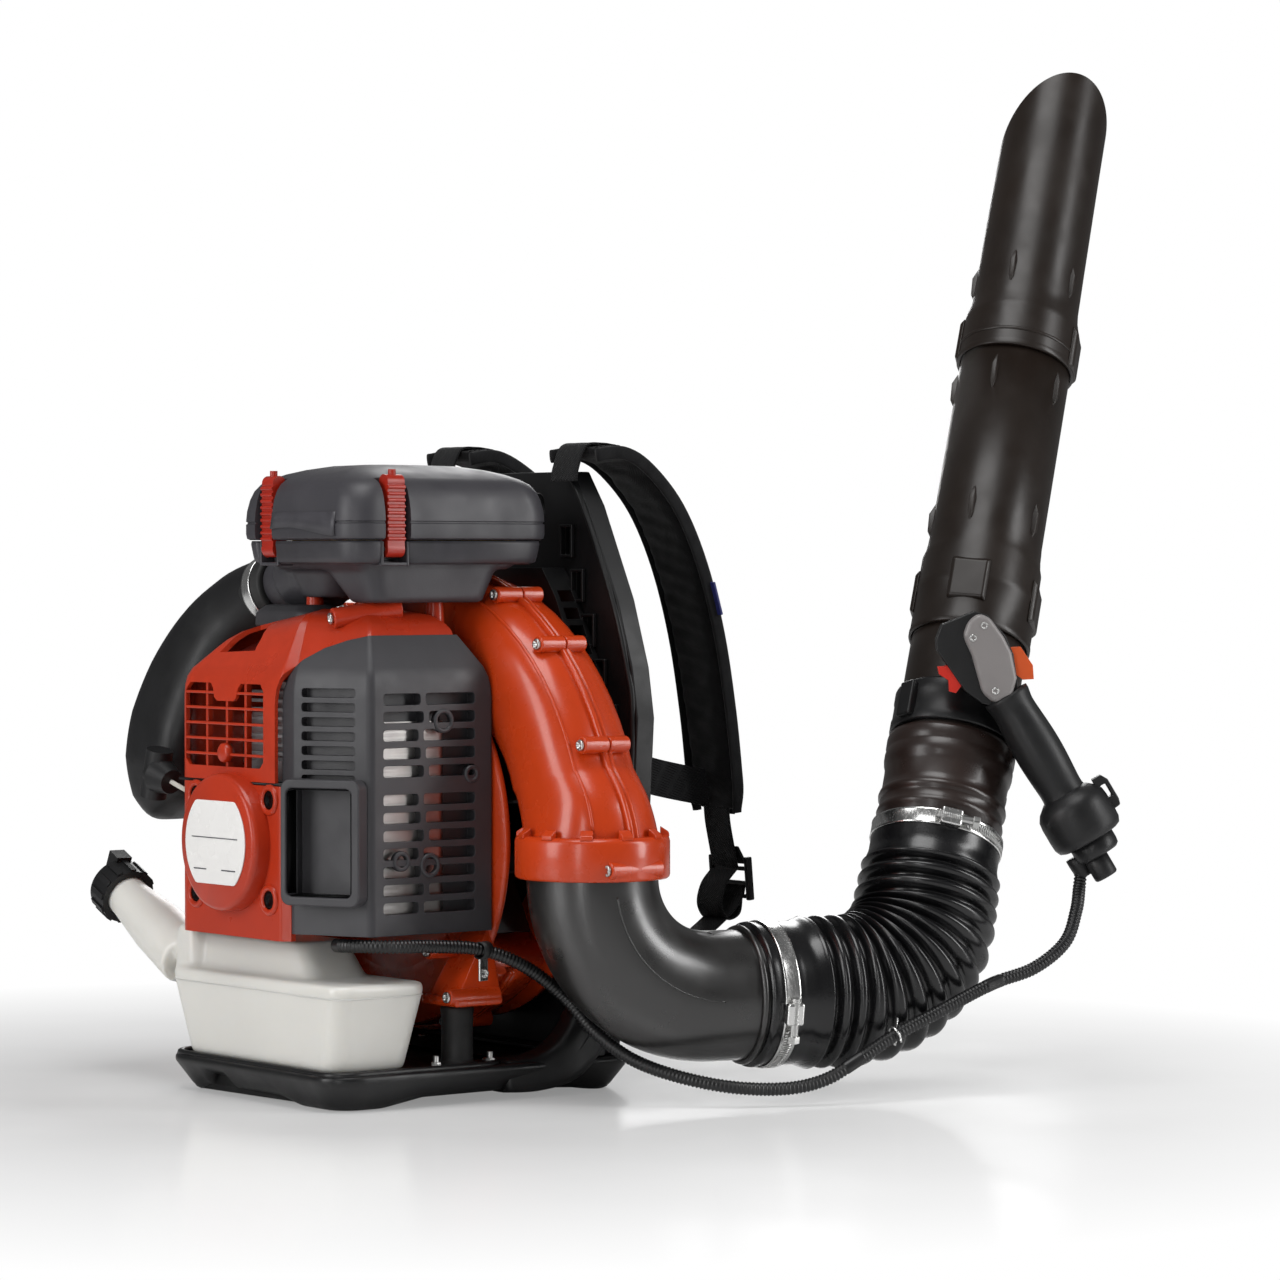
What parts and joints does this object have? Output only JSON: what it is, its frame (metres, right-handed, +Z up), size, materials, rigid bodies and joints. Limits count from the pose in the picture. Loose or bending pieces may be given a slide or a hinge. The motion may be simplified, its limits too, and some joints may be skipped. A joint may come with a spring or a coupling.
{
  "type": "backpack leaf blower",
  "caption": "Petrol backpack leaf blower on a base skid: engine, fan scroll, elbow and bellows hose, swivelling blower tube with grip and trigger, air cleaner, harness",
  "frame": {"origin": "centre of the base skid's footprint, on the floor", "axes": "+X to the wearer's right, +Y towards the wearer's back, +Z up"},
  "size_m": [0.6207, 0.8382, 0.8541],
  "materials": {
    "black_plastic": "moulded satin",
    "orange_plastic": "moulded gloss",
    "cover_grey": "fine grain",
    "filter_grey": "fine grain",
    "tank_white": "translucent",
    "badge_white": "printed plate, blank",
    "muffler_steel": "heat tinted",
    "cast_alloy": "cast",
    "machined_steel": "ground",
    "clamp_steel": "bright",
    "pipe_grey": "satin",
    "tube_brown": "satin",
    "bellows_rubber": "glossy rubber",
    "mount_rubber": "matt rubber",
    "grip_plastic": "satin",
    "head_grey": "satin",
    "trigger_orange": "satin",
    "switch_red": "gloss",
    "latch_red": "gloss",
    "conduit_black": "corrugated",
    "pad_fabric": "padded woven",
    "webbing_black": "woven webbing",
    "filter_foam": "pleated element",
    "rope_cord": "braided",
    "fan_plastic": "moulded",
    "insulator": "glazed",
    "pickup_brass": "sintered"
  },
  "bodies": {
    "root": {"base_skid": "black_plastic", "back_frame": "black_plastic", "back_pad": "pad_fabric", "fuel_tank": "tank_white", "fuel_pickup": "pickup_brass", "starter_cover": "orange_plastic", "starter_badge": "badge_white", "top_cover": "orange_plastic", "grille_cover": "cover_grey", "exhaust_frame": "cover_grey", "muffler": "muffler_steel", "crankcase": "cast_alloy", "engine_cylinder": "cast_alloy", "crank_bearings": "machined_steel", "ignition_coil": "black_plastic", "spark_plug": "insulator", "spark_plug_cap": "black_plastic", "carburettor": "cast_alloy", "starter_rope": "rope_cord", "volute_front": "orange_plastic", "volute_back": "orange_plastic", "intake_grille": "black_plastic", "filter_base": "filter_grey", "filter_element": "filter_foam", "intake_duct": "black_plastic", "elbow": "pipe_grey", "root_clamps": "clamp_steel", "throttle_conduit": "conduit_black", "shoulder_pads": "pad_fabric", "harness_webbing": "webbing_black", "harness_buckles": "black_plastic", "rubber_mounts": "mount_rubber", "screws": "machined_steel"},
    "hose_lower": {"cable_guide": "clamp_steel"},
    "hose_mid": {"bellows": "bellows_rubber"},
    "hose_end": {"upper_clamp": "clamp_steel", "swivel_sleeve": "tube_brown"},
    "tube": {"handle_bracket": "black_plastic", "tube_lower": "tube_brown", "tube_middle": "tube_brown", "handle_grip": "grip_plastic", "head_front": "head_grey", "head_back": "grip_plastic"},
    "nozzle_tube": {"nozzle": "tube_brown"},
    "trigger": {"throttle_trigger": "trigger_orange"},
    "switch": {"stop_switch": "switch_red"},
    "carb_lever": {"throttle_lever": "machined_steel"},
    "cap": {"fuel_cap": "black_plastic"},
    "pull_handle": {"starter_handle": "black_plastic"},
    "rope_pulley": {"starter_pulley": "black_plastic"},
    "rotor": {"crankshaft": "machined_steel", "flywheel": "cast_alloy", "starter_hub": "machined_steel", "fan_impeller": "fan_plastic"},
    "piston_group": {"piston": "cast_alloy", "piston_pin": "machined_steel", "connecting_rod": "machined_steel"},
    "left_latch": {"latch_left": "latch_red"},
    "right_latch": {"latch_right": "latch_red"},
    "cleaner_cover": {"filter_cover": "filter_grey"}
  },
  "joints": [
    {"name": "hose_pitch_lower", "type": "hinge", "parent": "root", "child": "hose_lower", "pos_m": [0.25828, 0.27716, 0.08582], "axis": [0.9032, -0.2607, 0.341], "range_deg": [-46, 2], "deforming": ["bellows", "throttle_conduit"]},
    {"name": "hose_yaw", "type": "hinge", "parent": "hose_lower", "child": "hose_mid", "pos_m": [0.26093, 0.30083, 0.0969], "axis": [0.4278, 0.4817, -0.7648], "range_deg": [-20, 20], "deforming": ["bellows", "throttle_conduit"]},
    {"name": "hose_pitch_upper", "type": "hinge", "parent": "hose_mid", "child": "hose_end", "pos_m": [0.2601, 0.32059, 0.11419], "axis": [0.9032, -0.2607, 0.341], "range_deg": [-46, 2], "deforming": ["bellows", "throttle_conduit"]},
    {"name": "tube_swivel", "type": "hinge", "parent": "hose_end", "child": "tube", "pos_m": [0.22544, 0.38993, 0.25899], "axis": [-0.2202, 0.4006, 0.8894], "range_deg": [-35, 35], "deforming": ["throttle_conduit"]},
    {"name": "nozzle_twist", "type": "hinge", "parent": "tube", "child": "nozzle_tube", "pos_m": [0.14176, 0.54214, 0.59697], "axis": [-0.2202, 0.4006, 0.8894], "range_deg": [0, 25]},
    {"name": "trigger_pull", "type": "hinge", "parent": "tube", "child": "trigger", "pos_m": [0.27925, 0.38614, 0.35286], "axis": [-0.7716, 0.6361, 0], "range_deg": [0, 16], "stiffness_Nm_per_rad": 0.3, "springref_deg": -22.92},
    {"name": "switch_rock", "type": "hinge", "parent": "tube", "child": "switch", "pos_m": [0.26378, 0.36737, 0.33505], "axis": [-0.7716, 0.6361, 0], "range_deg": [-6, 10], "stiffness_Nm_per_rad": 0.1},
    {"name": "throttle_lever_turn", "type": "hinge", "parent": "root", "child": "carb_lever", "pos_m": [-0.102, -0.045, 0.283], "axis": [0, 1, 0], "range_deg": [0, 64]},
    {"name": "fuel_cap_turn", "type": "hinge", "parent": "root", "child": "cap", "pos_m": [-0.236, -0.122, 0.153], "axis": [-0.9063, 0, 0.4226], "range_deg": [0, 360]},
    {"name": "starter_pull", "type": "slide", "parent": "root", "child": "pull_handle", "axis": [-0.9651, 0, 0.262], "range_m": [0, 0.6], "stiffness_N_per_m": 12, "springref_m": -0.6, "deforming": ["starter_rope"]},
    {"name": "starter_pulley_turn", "type": "hinge", "parent": "root", "child": "rope_pulley", "pos_m": [-0.02, -0.1395, 0.203], "axis": [0, 1, 0], "continuous": true},
    {"name": "crankshaft_turn", "type": "hinge", "parent": "root", "child": "rotor", "pos_m": [-0.02, -0.07, 0.203], "axis": [0, 1, 0], "continuous": true},
    {"name": "piston_stroke", "type": "slide", "parent": "root", "child": "piston_group", "axis": [0, 0, 1], "range_m": [-0.034, 0]},
    {"name": "left_latch_swing", "type": "hinge", "parent": "root", "child": "left_latch", "pos_m": [-0.009, -0.117, 0.434], "axis": [1, 0, 0], "range_deg": [0, 60]},
    {"name": "right_latch_swing", "type": "hinge", "parent": "root", "child": "right_latch", "pos_m": [0.107, -0.084, 0.434], "axis": [0, 1, 0], "range_deg": [0, 60]},
    {"name": "cleaner_cover_lift", "type": "slide", "parent": "root", "child": "cleaner_cover", "axis": [0, 0, 1], "range_m": [0, 0.09]}
  ],
  "couplings": [
    {"joint": "hose_pitch_upper", "follows": "hose_pitch_lower", "ratio": 1},
    {"joint": "starter_pulley_turn", "follows": "starter_pull", "rad_per_m": -27.174},
    {"joint": "throttle_lever_turn", "follows": "trigger_pull", "ratio": 4}
  ]
}
